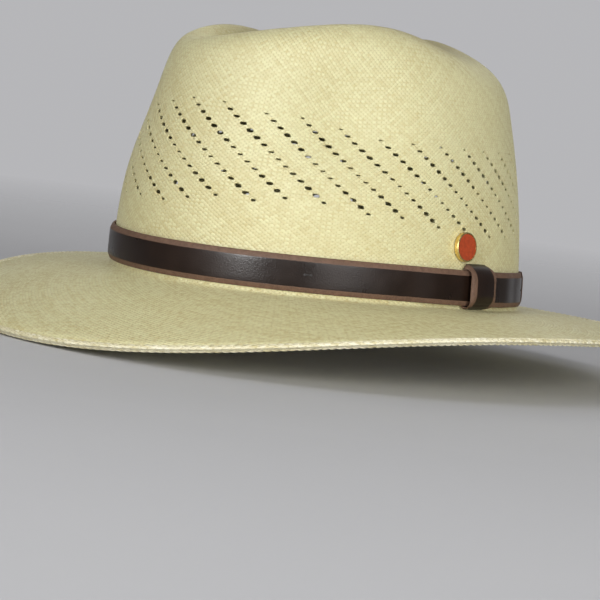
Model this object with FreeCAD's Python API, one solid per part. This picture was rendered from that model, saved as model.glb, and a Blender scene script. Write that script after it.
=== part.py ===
import FreeCAD, Part

import math
import os

# Panama hat.  Millimetres, +Z up the crown, the front of the brim towards -Y, the wearer's left towards +X.
# The origin is the centre of the head opening, on the plane where the crown breaks into the brim.
# Angles round the hat are counted from the front, towards the wearer's left.

# Head opening, measured on the outside of the straw at the break
HALF_LENGTH = 103.0
HALF_WIDTH = 86.0
STRAW_THICKNESS = 1.4
BREAK_LEVEL = -0.5
BREAK_RISE_SIDES = 2.6
BREAK_RISE_FRONT = 0.9

# Crown: the ridge is the raised rim round the hollow in the top.
# Each tuple is a cosine series of the angle from the front: constant, single, double and triple angle.
RIDGE_HEIGHT = (117.4, -0.8, 0.1, -3.3)
RIDGE_LEFT_RISE = 3.8
RIDGE_REACH = (0.525, 0.122, 0.03)
RIDGE_CROWNING = 1.0
# At the front, just right of the middle, the ridge dips and comes out close to the wall.
FRONT_CORNER_ANGLE = -18.0
FRONT_CORNER_SPREAD = 21.0
FRONT_CORNER_DROP = 5.8
FRONT_CORNER_REACH = 0.12
HOLLOW_FLOOR = 96.0
SHOULDER_DROP = (7.4, -3.8)
SHOULDER_FILL = (0.961, 0.044)
SHOULDER_RISE = (0.6, -2.8)
WALL_LEAN = (0.0, -0.064, -0.037)
WALL_CURVE = (0.179, 0.042)
WALL_LEVELS = (0.76, 0.64, 0.52, 0.40, 0.28, 0.14)

# The two finger pinches at the front of the crown
PINCH_ANGLE = 52.0
PINCH_HEIGHT = 80.0
PINCH_DEPTH = 12.0
PINCH_SPREAD_ANGLE = 19.0
PINCH_SPREAD_HEIGHT = 19.0

# Brim: BRIM_EDGE is the height of its edge, a cosine series too
BRIM_WIDTH = 68.5
BRIM_EDGE = (-10.6, -7.8, -6.9, -2.2)
BRIM_LEFT_RISE = 2.1
BRIM_STEPS = (0.04, 0.18, 0.4, 0.6, 0.8, 0.93)
BRIM_FIRST_SLOPE = 0.6
BEAD_RADIUS = 1.6

# Leather strap round the crown.  It starts as the outer layer of the lap and ends under its own tip.
# Both layers of the lap are pared thinner than the rest.
STRAP_HEIGHT = 15.9
STRAP_THICKNESS = 2.0
STRAP_EDGE_SHARE = 0.55
STRAP_BEVEL = 2.3
STRAP_ABOVE_BREAK = 2.0
STRAP_GAP = 0.3
LAP_GAP = 0.1
LAP_THICKNESS = 1.1
STRAP_TIP_ANGLE = 141.0
STRAP_END_ANGLE = 530.0
LAP_RAMP = (173.0, 192.0)

# Keeper loop on the strap
KEEPER_ANGLE = 98.5
KEEPER_WIDTH = 17.6
KEEPER_FACE_WALL = 2.0
KEEPER_BACK_WALL = 0.8
KEEPER_STRAW_GAP = 0.75
KEEPER_CLEARANCE = 0.4
KEEPER_FACE_GAP = 1.6
KEEPER_TOP_WALL = 2.4
KEEPER_BOTTOM_WALL = 1.2
KEEPER_END_GAP = 0.4
KEEPER_CHAMFER = 0.8
KEEPER_TRAVEL = 12.0
KEEPER_RAMP_ANGLE = 10.0
KEEPER_FLAT_MARGIN = 3.0

# Badge, pinned through the straw just above the keeper
BADGE_ANGLE = 93.8
BADGE_HEIGHT = 29.9
BADGE_DIAMETER = 13.4
BADGE_THICKNESS = 2.0
BADGE_RIM = 0.7
BADGE_GAP = 0.3
ENAMEL_DEPTH = 0.9
POST_DIAMETER = 1.2
POST_REACH = 6.4
POST_CLEARANCE = 0.05
CLUTCH_DIAMETER = 6.4
CLUTCH_LENGTH = 2.8
CLUTCH_COLLAR_DIAMETER = 4.2
CLUTCH_FLANGE = 0.8
CLUTCH_GAP = 0.4

# Sweatband: a strip of leather with its lower edge folded round a reed
SWEATBAND_HEIGHT = 23.2
SWEATBAND_THICKNESS = 0.9
SWEATBAND_STAND = 2.05
SWEATBAND_LIFT = 0.8
SWEATBAND_OPENING_TOP = 9.0
HOOK_STAND = 1.55
HOOK_HEIGHT = 4.0
REED_DIAMETER = 1.1
REED_CENTRE = (2.7, 1.5)
BUTT_GAP_ANGLE = 0.4
PATCH_GAP = 0.2
TAPE_WIDTH_ANGLE = 12.0
TAPE_THICKNESS = 0.3
LABEL_ANGLE = 203.0
LABEL_WIDTH_ANGLE = 18.0
LABEL_THICKNESS = 0.25
BOW_HALF_ANGLE = 8.0
BOW_LEVEL = 15.0

STITCH_DIAMETER = 0.7
TACK_ANGLES = (48.0, 131.0, 229.0, 312.0)
LAP_STITCH_ANGLES = (145.0, 166.0)
SWEATBAND_STITCHES = 60
COLUMNS = 72
UP = FreeCAD.Vector(0, 0, 1)


# ---------------------------------------------------------------- shape of the hat

def smooth(t):
    t = min(max(t, 0.0), 1.0)
    return t * t * (3.0 - 2.0 * t)


def break_height(angle):
    return BREAK_LEVEL + BREAK_RISE_SIDES * math.sin(angle) ** 2 + BREAK_RISE_FRONT * math.cos(angle)


def series(sizes, angle):
    return sum(size * math.cos(turn * angle) for turn, size in enumerate(sizes))


def head_point(angle, scale=1.0):
    return FreeCAD.Vector(HALF_WIDTH * scale * math.sin(angle), -HALF_LENGTH * scale * math.cos(angle), 0)


def head_normal(angle):
    return FreeCAD.Vector(math.sin(angle) / HALF_WIDTH, -math.cos(angle) / HALF_LENGTH, 0).normalize()


def wall_scale(angle, height):
    """How far the crown's wall has come in at a height, as a part of the head opening's size."""
    level = height / 100.0
    return 1.0 - series(WALL_LEAN, angle) * level - series(WALL_CURVE, angle) * level ** 2


def wall_point(angle, height, stand=0.0):
    """The point that stands off the lower crown wall by a distance, along the opening's normal."""
    foot = head_point(angle)
    normal = head_normal(angle)
    inset = (1.0 - wall_scale(angle, height)) * foot.dot(normal)
    return foot + normal * (stand - inset) + UP * height


def wall_normal(angle, height):
    rise = wall_point(angle, height + 1.0) - wall_point(angle, height - 1.0)
    along = UP.cross(head_normal(angle))
    return along.cross(rise).normalize()


def pinch(angle, height):
    from_front = math.degrees(math.acos(math.cos(angle)))
    sideways = (from_front - PINCH_ANGLE) / PINCH_SPREAD_ANGLE
    upwards = (height - PINCH_HEIGHT) / PINCH_SPREAD_HEIGHT
    return PINCH_DEPTH * math.exp(-sideways ** 2 - upwards ** 2)


def front_corner(angle):
    """How much an angle belongs to the front corner of the ridge, from 0 to 1."""
    away = (math.degrees(angle) - FRONT_CORNER_ANGLE + 180.0) % 360.0 - 180.0
    return math.exp(-(away / FRONT_CORNER_SPREAD) ** 2)


def crown_points(angle):
    """Control points of the crown's outside at one angle, from the hollow in the top down to the break."""
    corner = front_corner(angle)
    ridge = series(RIDGE_HEIGHT, angle) + RIDGE_LEFT_RISE * math.sin(angle) - FRONT_CORNER_DROP * corner
    reach = series(RIDGE_REACH, angle) + FRONT_CORNER_REACH * corner
    depth = ridge - HOLLOW_FLOOR
    shoulder = ridge - series(SHOULDER_DROP, angle)
    fill = series(SHOULDER_FILL, angle) * wall_scale(angle, shoulder)
    steps = [
        (0.03, HOLLOW_FLOOR),
        (0.12, HOLLOW_FLOOR),
        (0.41 * reach, HOLLOW_FLOOR + 0.10 * depth),
        (0.67 * reach, HOLLOW_FLOOR + 0.48 * depth),
        (0.87 * reach, ridge - 2.9),
        (1.05 * reach, ridge + RIDGE_CROWNING),
        (fill, shoulder + series(SHOULDER_RISE, angle)),
        (wall_scale(angle, shoulder - 10.0), shoulder - 9.0),
    ]
    steps += [(wall_scale(angle, level * ridge), level * ridge) for level in WALL_LEVELS]
    points = []
    for scale, height in steps:
        inwards = pinch(angle, height) * smooth(scale / 0.5)
        points.append(head_point(angle, scale) - head_normal(angle) * inwards + UP * height)
    return points


def brim_height(angle, part):
    bend = BRIM_FIRST_SLOPE * part + (1.0 - BRIM_FIRST_SLOPE) * part ** 2
    edge = series(BRIM_EDGE, angle) + BRIM_LEFT_RISE * math.sin(angle)
    return break_height(angle) + (edge - break_height(angle)) * bend


def brim_point(angle, part):
    return head_point(angle) + head_normal(angle) * (BRIM_WIDTH * part) + UP * brim_height(angle, part)


def outside_points(angle):
    foot = wall_point(angle, break_height(angle) + 2.5)
    corner = head_point(angle) + UP * break_height(angle)
    return crown_points(angle) + [foot, corner] + [brim_point(angle, part) for part in BRIM_STEPS]


def bead_points(angle):
    """Control points of the rolled edge of the brim, from the top round to the underside."""
    out = head_normal(angle)
    middle = brim_point(angle, 1.0) - out * BEAD_RADIUS - UP * (STRAW_THICKNESS / 2.0)
    corners = [(-1.3, 0.6), (-0.7, 1.25), (0.8, 1.25), (1.35, 0.0), (0.8, -1.25), (-0.7, -1.25), (-1.3, -0.6)]
    return [middle + out * (BEAD_RADIUS * across) + UP * (BEAD_RADIUS * level) for across, level in corners]


# ---------------------------------------------------------------- surfaces

def poles_through(row, closed):
    """Poles of a cubic spline that passes through a row of evenly spaced points."""
    poles = []
    count = len(row)
    for index, point in enumerate(row):
        if closed or 0 < index < count - 1:
            bend = row[index - 1] + row[(index + 1) % count] - point * 2.0
            poles.append(point - bend * (1.0 / 6.0))
        else:
            poles.append(point)
    return poles


def skin(rows, closed, degree):
    """One face over rows of points: cubic along each row, and of the given degree from row to row."""
    rows = [poles_through(row, closed) for row in rows]
    columns = len(rows[0])
    poles = [[row[index] for row in rows] for index in range(columns)]
    if closed:
        along = list(range(columns + 1))
        along_mults = [1] * (columns + 1)
    else:
        along = list(range(columns - 2))
        along_mults = [4] + [1] * (columns - 4) + [4]
    across = list(range(len(rows) - degree + 1))
    across_mults = [degree + 1] + [1] * (len(across) - 2) + [degree + 1]
    surface = Part.BSplineSurface()
    surface.buildFromPolesMultsKnots(poles, along_mults, across_mults, along, across, closed, False, 3, degree)
    return surface.toShape()


def solid_of(faces):
    shell = Part.makeShell(faces)
    shell.sewShape(0.001)
    solid = Part.makeSolid(shell)
    if solid.Volume < 0:
        solid.reverse()
    return solid


def strip(corners_at, first, last, columns):
    """A strip that follows the hat from one angle to another.

    corners_at(angle) gives the corners of its section, in order round the section.
    """
    angles = [math.radians(first + (last - first) * index / (columns - 1)) for index in range(columns)]
    sections = [corners_at(angle) for angle in angles]
    count = len(sections[0])
    rows = [[section[corner] for section in sections] for corner in range(count)]
    faces = [skin([rows[corner], rows[(corner + 1) % count]], False, 1) for corner in range(count)]
    for section in (sections[0], sections[-1]):
        faces.append(Part.Face(Part.makePolygon(section + [section[0]])))
    return solid_of(faces)


def ring(corners_at, columns):
    """A closed ring round the hat, with the section that corners_at(angle) gives."""
    sections = [corners_at(2.0 * math.pi * index / columns) for index in range(columns)]
    count = len(sections[0])
    rows = [[section[corner] for section in sections] for corner in range(count)]
    return solid_of([skin([rows[corner], rows[(corner + 1) % count]], True, 1) for corner in range(count)])


def section(angle, base, corners):
    """Section corners, each given as (stand off the wall, height above the base)."""
    return [wall_point(angle, base + height, stand) for stand, height in corners]


def stand_on(shape, point, normal):
    shape.Placement = FreeCAD.Placement(point, FreeCAD.Rotation(UP, normal))
    return shape


def stitch(point, normal, along, bar_length, leg_length):
    """A stitch with its bar on the surface and its two legs going in."""
    radius = STITCH_DIAMETER / 2.0
    start = point - along * (bar_length / 2.0)
    solid = Part.makeCylinder(radius, bar_length, start, along)
    for end in (start, start + along * bar_length):
        solid = solid.fuse(Part.makeCylinder(radius, leg_length, end, normal * -1.0))
        solid = solid.fuse(Part.makeSphere(radius, end))
    return solid.removeSplitter()


# ---------------------------------------------------------------- straw

def straw_body():
    angles = [2.0 * math.pi * index / COLUMNS for index in range(COLUMNS)]
    outside = list(zip(*[outside_points(angle) for angle in angles]))
    inside = []
    for index, row in enumerate(outside):
        above = outside[max(index - 1, 0)]
        below = outside[min(index + 1, len(outside) - 1)]
        inner_row = []
        for column, point in enumerate(row):
            along = row[(column + 1) % COLUMNS] - row[column - 1]
            normal = along.cross(above[column] - below[column]).normalize()
            inner_row.append(point - normal * STRAW_THICKNESS)
        inside.append(inner_row)
    bead = list(zip(*[bead_points(angle) for angle in angles]))
    rows = outside + bead + inside[::-1]
    face = skin(rows, True, 3)
    ends = [Part.Face(Part.Wire(edge)) for edge in face.Edges if edge.isClosed() and flat(edge)]
    return solid_of([face] + ends)


def flat(edge):
    return edge.BoundBox.ZLength < 0.001 and edge.Length > 0.1


# ---------------------------------------------------------------- leather strap and keeper

def keeper_radius():
    angle = math.radians(KEEPER_ANGLE)
    reach = (HALF_WIDTH * math.cos(angle)) ** 2 + (HALF_LENGTH * math.sin(angle)) ** 2
    return reach ** 1.5 / (HALF_WIDTH * HALF_LENGTH)


def keeper_axis():
    """A point on the upright line that the strap curves round where the keeper sits."""
    angle = math.radians(KEEPER_ANGLE)
    return head_point(angle) - head_normal(angle) * keeper_radius()


def keeper_turn(width):
    return math.degrees(width / keeper_radius())


def lap_share(turned):
    """One along the outer layer of the lap, falling to nothing where the strap comes down to the straw."""
    return 1.0 - smooth((turned - LAP_RAMP[0]) / (LAP_RAMP[1] - LAP_RAMP[0]))


def strap_thickness(turned):
    under_tip = STRAP_TIP_ANGLE + 360.0
    pared_under = smooth((turned - under_tip) / (LAP_RAMP[1] - LAP_RAMP[0]) + 1.0)
    return STRAP_THICKNESS - (STRAP_THICKNESS - LAP_THICKNESS) * max(lap_share(turned), pared_under)


def strap_stand(turned):
    """How far the strap's back stands off the straw: over its own end at the lap, and over the keeper's back."""
    lap = (LAP_THICKNESS + LAP_GAP) * lap_share(turned)
    room = KEEPER_STRAW_GAP + KEEPER_BACK_WALL + KEEPER_CLEARANCE - STRAP_GAP
    flat_half = keeper_turn(KEEPER_WIDTH / 2.0 + KEEPER_TRAVEL) + KEEPER_FLAT_MARGIN
    from_keeper = abs((turned - KEEPER_ANGLE + 180.0) % 360.0 - 180.0)
    lift = room * smooth((flat_half + KEEPER_RAMP_ANGLE - from_keeper) / KEEPER_RAMP_ANGLE)
    return STRAP_GAP + lap + lift


def strap_base(angle):
    return break_height(angle) + STRAP_ABOVE_BREAK


def strap_section(angle):
    back = strap_stand(math.degrees(angle))
    thickness = strap_thickness(math.degrees(angle))
    face = back + thickness
    edge = back + thickness * STRAP_EDGE_SHARE
    corners = [
        (back, 0.0),
        (edge, 0.0),
        (face, STRAP_BEVEL),
        (face, STRAP_HEIGHT - STRAP_BEVEL),
        (edge, STRAP_HEIGHT),
        (back, STRAP_HEIGHT),
    ]
    return section(angle, strap_base(angle), corners)


def hat_band():
    return strip(strap_section, STRAP_TIP_ANGLE, STRAP_END_ANGLE, 130)


def band_keeper():
    angle = math.radians(KEEPER_ANGLE)
    base = strap_base(angle)
    back = KEEPER_STRAW_GAP
    inner_back = back + KEEPER_BACK_WALL
    inner_face = inner_back + KEEPER_CLEARANCE + STRAP_THICKNESS + KEEPER_FACE_GAP
    face = inner_face + KEEPER_FACE_WALL
    low = -KEEPER_END_GAP - KEEPER_BOTTOM_WALL
    high = STRAP_HEIGHT + KEEPER_END_GAP + KEEPER_TOP_WALL
    cut = KEEPER_CHAMFER
    outline = [
        (back, low + cut),
        (back + cut, low),
        (face - cut, low),
        (face, low + cut),
        (face, high - cut),
        (face - cut, high),
        (back + cut, high),
        (back, high - cut),
    ]
    inside = [
        (inner_back, -KEEPER_END_GAP),
        (inner_face, -KEEPER_END_GAP),
        (inner_face, STRAP_HEIGHT + KEEPER_END_GAP),
        (inner_back, STRAP_HEIGHT + KEEPER_END_GAP),
    ]
    half_turn = keeper_turn(KEEPER_WIDTH / 2.0)
    solids = []
    for corners in (outline, inside):
        points = section(angle, base, corners)
        face_of_section = Part.Face(Part.makePolygon(points + [points[0]]))
        face_of_section.rotate(keeper_axis(), UP, -half_turn)
        solids.append(face_of_section.revolve(keeper_axis(), UP, 2.0 * half_turn))
    return solids[0].cut(solids[1])


def keeper_seam_stitches():
    """Three stitches across the butted ends of the keeper, flush in its back."""
    angle = math.radians(KEEPER_ANGLE)
    along = UP.cross(head_normal(angle))
    solids = []
    for part in (0.2, 0.5, 0.8):
        height = strap_base(angle) + STRAP_HEIGHT * part
        start = wall_point(angle, height, KEEPER_STRAW_GAP + 0.3) - along * 1.5
        solids.append(Part.makeCylinder(0.25, 3.0, start, along))
    return Part.makeCompound(solids)


def band_tack_stitches():
    solids = []
    for degrees in TACK_ANGLES:
        angle = math.radians(degrees)
        height = strap_base(angle) + STRAP_HEIGHT / 2.0
        normal = wall_normal(angle, height)
        turned = degrees + 360.0
        face = wall_point(angle, height, strap_stand(turned) + strap_thickness(turned))
        solids.append(stitch(face, normal, UP.cross(normal).normalize(), 2.6, STRAP_THICKNESS + 1.4))
    return Part.makeCompound(solids)


def band_lap_stitches():
    """Two rows of three stitches through both layers of the lap."""
    solids = []
    for degrees in LAP_STITCH_ANGLES:
        angle = math.radians(degrees)
        for part in (0.27, 0.5, 0.73):
            height = strap_base(angle) + STRAP_HEIGHT * part
            face = wall_point(angle, height, strap_stand(degrees) + strap_thickness(degrees))
            solids.append(stitch(face, wall_normal(angle, height), UP, 2.2, STRAP_THICKNESS + 1.6))
    return Part.makeCompound(solids)


# ---------------------------------------------------------------- badge

def badge_place():
    angle = math.radians(BADGE_ANGLE)
    return wall_point(angle, BADGE_HEIGHT), wall_normal(angle, BADGE_HEIGHT)


def disc(radius, low, high):
    return Part.makeCylinder(radius, high - low, UP * low)


def badge_cup():
    radius = BADGE_DIAMETER / 2.0
    top = BADGE_GAP + BADGE_THICKNESS
    cup = disc(radius, BADGE_GAP, top)
    cup = cup.makeFillet(0.3, [edge for edge in cup.Edges if edge.BoundBox.ZMin > top - 0.01])
    cup = cup.cut(disc(radius - BADGE_RIM, top - ENAMEL_DEPTH, top + 1.0))
    return stand_on(cup, *badge_place())


def badge_enamel():
    top = BADGE_GAP + BADGE_THICKNESS
    enamel = disc(BADGE_DIAMETER / 2.0 - BADGE_RIM, top - ENAMEL_DEPTH, top - 0.1)
    enamel = enamel.makeFillet(0.25, [edge for edge in enamel.Edges if edge.BoundBox.ZMin > top - 0.11])
    return stand_on(enamel, *badge_place())


def badge_post():
    post = disc(POST_DIAMETER / 2.0, -POST_REACH, BADGE_GAP)
    post = post.makeChamfer(0.25, [edge for edge in post.Edges if edge.BoundBox.ZMax < -POST_REACH + 0.01])
    return stand_on(post, *badge_place())


def post_hole():
    hole = disc(POST_DIAMETER / 2.0 + POST_CLEARANCE, -POST_REACH - 2.0, BADGE_THICKNESS)
    return stand_on(hole, *badge_place())


def badge_clutch():
    outer = -STRAW_THICKNESS - CLUTCH_GAP
    clutch = disc(CLUTCH_DIAMETER / 2.0, outer - CLUTCH_FLANGE, outer)
    clutch = clutch.fuse(disc(CLUTCH_COLLAR_DIAMETER / 2.0, outer - CLUTCH_LENGTH, outer))
    return stand_on(clutch, *badge_place()).cut(post_hole())


# ---------------------------------------------------------------- sweatband

def sweatband_base(angle):
    return break_height(angle) + SWEATBAND_LIFT


def sweatband_section(angle):
    outer = -SWEATBAND_STAND
    inner = outer - SWEATBAND_THICKNESS
    fold_outer = outer - 1.3
    fold_inner = fold_outer - SWEATBAND_THICKNESS
    corners = [
        (-HOOK_STAND, HOOK_HEIGHT),
        (-HOOK_STAND, 0.6),
        (-HOOK_STAND - 0.6, 0.0),
        (fold_inner + 0.6, 0.0),
        (fold_inner, 0.6),
        (fold_inner, 3.5),
        (inner, SWEATBAND_OPENING_TOP),
        (inner, SWEATBAND_HEIGHT),
        (outer, SWEATBAND_HEIGHT),
        (outer, SWEATBAND_OPENING_TOP),
        (fold_outer, 3.4),
        (fold_outer, 0.8),
        (outer, 0.8),
        (outer, HOOK_HEIGHT),
    ]
    return section(angle, sweatband_base(angle), corners)


def sweatband():
    return strip(sweatband_section, 180.0 + BUTT_GAP_ANGLE, 540.0 - BUTT_GAP_ANGLE, 90)


def sweatband_reed():
    def corners_at(angle):
        stand, height = REED_CENTRE
        turns = [2.0 * math.pi * step / 10.0 for step in range(10)]
        radius = REED_DIAMETER / 2.0
        corners = [(-stand + radius * math.cos(turn), height + radius * math.sin(turn)) for turn in turns]
        return section(angle, sweatband_base(angle), corners)
    return ring(corners_at, COLUMNS)


def patch(centre, width, near, far, low, high):
    """A flat piece of tape or label that follows the wall: near and far are its stands, nearest the straw first."""
    def corners_at(angle):
        return section(angle, sweatband_base(angle), [(near, low), (near, high), (far, high), (far, low)])
    return strip(corners_at, centre - width / 2.0, centre + width / 2.0, 8)


def sweatband_joint_tape():
    far = -SWEATBAND_STAND + PATCH_GAP
    top = SWEATBAND_HEIGHT - 1.0
    return patch(180.0, TAPE_WIDTH_ANGLE, far + TAPE_THICKNESS, far, SWEATBAND_OPENING_TOP + 0.5, top)


def size_label():
    far = -SWEATBAND_STAND + PATCH_GAP
    top = SWEATBAND_HEIGHT + 3.0
    return patch(LABEL_ANGLE, LABEL_WIDTH_ANGLE, far + LABEL_THICKNESS, far, SWEATBAND_OPENING_TOP + 0.5, top)


def sweatband_bow():
    near = -SWEATBAND_STAND - SWEATBAND_THICKNESS - PATCH_GAP

    def loops_at(angle):
        spread = abs(math.degrees(angle) - 180.0) / BOW_HALF_ANGLE
        half = 1.2 + 3.0 * smooth(spread * 1.3)
        corners = [(near, -half), (near, half), (near - 0.8, half), (near - 0.8, -half)]
        return section(angle, sweatband_base(angle) + BOW_LEVEL, corners)

    loops = strip(loops_at, 180.0 - BOW_HALF_ANGLE, 180.0 + BOW_HALF_ANGLE, 25)
    knot = patch(180.0, 2.6, near, near - 1.6, BOW_LEVEL - 2.0, BOW_LEVEL + 2.0)
    return loops.fuse(knot)


def sweatband_stitches():
    """Running stitches through the fold of the sweatband into the straw."""
    solids = []
    for index in range(SWEATBAND_STITCHES):
        angle = math.radians(180.0 + 360.0 * (index + 0.5) / SWEATBAND_STITCHES)
        height = sweatband_base(angle) + 2.9
        normal = head_normal(angle) * -1.0
        face = wall_point(angle, height, -SWEATBAND_STAND - 1.3 - SWEATBAND_THICKNESS)
        solids.append(stitch(face, normal, UP.cross(normal), 3.2, SWEATBAND_THICKNESS + 2.0))
    return Part.makeCompound(solids)


# ---------------------------------------------------------------- build

PIECES = {
    "straw_body": lambda: straw_body().cut(post_hole()),
    "hat_band": hat_band,
    "band_lap_stitches": band_lap_stitches,
    "band_tack_stitches": band_tack_stitches,
    "band_keeper": band_keeper,
    "keeper_seam_stitches": keeper_seam_stitches,
    "badge_cup": badge_cup,
    "badge_enamel": badge_enamel,
    "badge_post": badge_post,
    "badge_clutch": badge_clutch,
    "sweatband": sweatband,
    "sweatband_reed": sweatband_reed,
    "sweatband_stitches": sweatband_stitches,
    "sweatband_joint_tape": sweatband_joint_tape,
    "sweatband_bow": sweatband_bow,
    "size_label": size_label,
}


def main():
    os.makedirs("parts", exist_ok=True)
    for name, make in PIECES.items():
        shape = make()
        shape.exportStep("parts/" + name + ".step")
        print(name, len(shape.Solids), "solids", round(shape.Volume, 1), "mm3", "valid", shape.isValid())
    print("keeper turns about", keeper_axis(), "radius", round(keeper_radius(), 3))
    print("badge at", *badge_place())


main()
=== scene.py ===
import math

import bmesh
import bpy
import numpy as np
from mathutils import Matrix, Vector


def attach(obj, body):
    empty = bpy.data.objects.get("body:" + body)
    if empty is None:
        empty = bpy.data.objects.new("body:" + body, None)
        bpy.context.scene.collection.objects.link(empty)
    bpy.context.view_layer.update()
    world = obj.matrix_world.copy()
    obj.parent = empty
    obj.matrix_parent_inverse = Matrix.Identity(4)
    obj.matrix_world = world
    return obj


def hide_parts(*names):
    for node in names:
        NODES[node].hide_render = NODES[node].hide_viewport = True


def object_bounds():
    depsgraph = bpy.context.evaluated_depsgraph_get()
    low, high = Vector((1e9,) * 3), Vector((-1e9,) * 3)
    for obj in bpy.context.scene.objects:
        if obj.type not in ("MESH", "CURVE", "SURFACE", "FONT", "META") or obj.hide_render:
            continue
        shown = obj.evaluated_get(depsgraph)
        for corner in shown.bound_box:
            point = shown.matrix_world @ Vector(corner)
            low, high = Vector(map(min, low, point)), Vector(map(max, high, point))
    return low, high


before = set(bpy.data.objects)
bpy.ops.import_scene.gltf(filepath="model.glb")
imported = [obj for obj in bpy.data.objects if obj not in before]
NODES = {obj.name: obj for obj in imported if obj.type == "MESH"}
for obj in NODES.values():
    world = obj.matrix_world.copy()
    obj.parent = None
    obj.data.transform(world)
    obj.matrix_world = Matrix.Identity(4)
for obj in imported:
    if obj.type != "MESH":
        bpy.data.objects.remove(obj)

CAD_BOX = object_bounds()

# The hat's own sizes, in millimetres, as the CAD model has them.  Points are worked out in millimetres
# and turned into metres when a mesh is made.  Angles round the hat run from the front to the wearer's left.
METRE = 0.001
HALF_LENGTH = 103.0
HALF_WIDTH = 86.0
STRAW_THICKNESS = 1.4
BREAK_LEVEL = -0.5
BREAK_RISE_SIDES = 2.6
BREAK_RISE_FRONT = 0.9
RIDGE_HEIGHT = (117.4, -0.8, 0.1, -3.3)
RIDGE_LEFT_RISE = 3.8
RIDGE_REACH = (0.525, 0.122, 0.03)
RIDGE_CROWNING = 1.0
FRONT_CORNER_ANGLE = -18.0
FRONT_CORNER_SPREAD = 21.0
FRONT_CORNER_DROP = 5.8
FRONT_CORNER_REACH = 0.12
HOLLOW_FLOOR = 96.0
SHOULDER_DROP = (7.4, -3.8)
SHOULDER_FILL = (0.961, 0.044)
SHOULDER_RISE = (0.6, -2.8)
WALL_LEAN = (0.0, -0.064, -0.037)
WALL_CURVE = (0.179, 0.042)
WALL_LEVELS = (0.76, 0.64, 0.52, 0.40, 0.28, 0.14)
PINCH_ANGLE = 52.0
PINCH_HEIGHT = 80.0
PINCH_DEPTH = 12.0
PINCH_SPREAD = 19.0
BRIM_WIDTH = 68.5
BRIM_EDGE = (-10.6, -7.8, -6.9, -2.2)
BRIM_LEFT_RISE = 2.1
BRIM_STEPS = (0.04, 0.18, 0.4, 0.6, 0.8, 0.93)
BRIM_FIRST_SLOPE = 0.6
BEAD_RADIUS = 1.6
STRAP_HEIGHT = 15.9
STRAP_THICKNESS = 2.0
STRAP_BEVEL = 2.3
STRAP_ABOVE_BREAK = 2.0
STRAP_GAP = 0.3
LAP_GAP = 0.1
LAP_THICKNESS = 1.1
STRAP_TIP_ANGLE = 141.0
STRAP_END_ANGLE = 530.0
LAP_RAMP = (173.0, 192.0)
KEEPER_ANGLE = 98.5
KEEPER_WIDTH = 17.6
KEEPER_FACE_WALL = 2.0
KEEPER_BACK_WALL = 0.8
KEEPER_STRAW_GAP = 0.75
KEEPER_CLEARANCE = 0.4
KEEPER_FACE_GAP = 1.6
KEEPER_TOP_WALL = 2.4
KEEPER_BOTTOM_WALL = 1.2
KEEPER_END_GAP = 0.4
KEEPER_TRAVEL = 12.0
KEEPER_RAMP_ANGLE = 10.0
KEEPER_FLAT_MARGIN = 3.0
SWEATBAND_HEIGHT = 23.2
SWEATBAND_THICKNESS = 0.9
SWEATBAND_STAND = 2.05
SWEATBAND_LIFT = 0.8
HOOK_STAND = 1.55
TACK_ANGLES = (48.0, 131.0, 229.0, 312.0)
LAP_STITCH_ANGLES = (145.0, 166.0)
SWEATBAND_STITCHES = 60

# The outline of the straw's outside is a spline of rows, and the crown's foot ends at one of its places.
OUTSIDE_ROWS = 22
PROFILE_POINTS = 2200
SHOULDER_PLACE = 6.5
CORNER_PLACE = 14.0
JOIN_HEIGHT = 7.0
FOOT_LENGTH = 6.0
FOOT_ROWS = 12
PLATE_ROWS = 20
BRAID_TURNS = 306
BRAID_STEPS = 6
BRAID_CORNERS = 14
BRAID_SLANT = 2.6
BRAID_SWELL = (0.76, 0.3)

# The strap's lapped end, the keeper's loop and the lining.
STRAP_COLUMNS = 560
TIP_COLUMNS = 24
TIP_LENGTH = 5.0
TIP_ROUNDING = 2.4
MILLIMETRES_PER_DEGREE = 1.65
KEEPER_LOOP_STEPS = 8
KEEPER_BEVEL = 2.7
KEEPER_BACK_CORNER = 0.8
KEEPER_FACE_CORNER = 7.2
KEEPER_EDGE_THINNING = 0.5
SWEATBAND_COLUMNS = 300
PATCH_COLUMNS = 40
REED_COLUMNS = 360
SWEATBAND_OPENING_TOP = 9.0
SWEATBAND_FOLD = 1.3
HOOK_HEIGHT = 4.0
REED_RADIUS = 0.55
REED_CENTRE = (2.7, 1.5)
BUTT_GAP_ANGLE = 0.4
PATCH_GAP = 0.2
TAPE_HALF_ANGLE = 6.0
TAPE_THICKNESS = 0.3
LABEL_ANGLE = 203.0
LABEL_HALF_ANGLE = 9.0
LABEL_THICKNESS = 0.25
LABEL_ABOVE_SWEATBAND = 3.0
BOW_HALF_ANGLE = 7.8
BOW_LEVEL = 15.0
BOW_RIBBON = 0.2
LOOP_POINTS = 41
TAIL_POINTS = 15
THREAD_POINTS = 19
THREAD_CORNERS = 10

# The weave: straws of one width run both ways round the crown, and the rows of holes follow one of them.
STRAWS_AROUND = 238
STRAW_PITCH = 1.42
HOLE_ROWS = 34
ROWS_HIGHEST = 8.0
ROWS_SPREAD = 60.0
ROWS_DROP = 3.3
HOLES_IN_ROW = 15
COLUMNS = 306
COLUMNS_PER_ROW = COLUMNS // HOLE_ROWS
ROW_STEP = 0.9
FIRST_ARC = 0.66
HOLE_COLUMN = 3
HOLE_LEVEL = 81.0
LEVELS_ABOVE = 4
LEVELS_BELOW = 54
HOLE_HALF_LENGTH = 1.58
HOLE_HALF_HEIGHT = 0.82
HOLE_LIP = 0.18
HOLE_LEAN = 0.3
HOLE_REACH = (1.8, 1.5)
HOLE_EDGE_DEPTH = (0.22, 0.62)
HOLE_CORNERS = 12
TOP_ROWS = 38
LOW_ROWS = 8
CREST_ROW = 24

UP = np.array([0.0, 0.0, 1.0])


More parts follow.
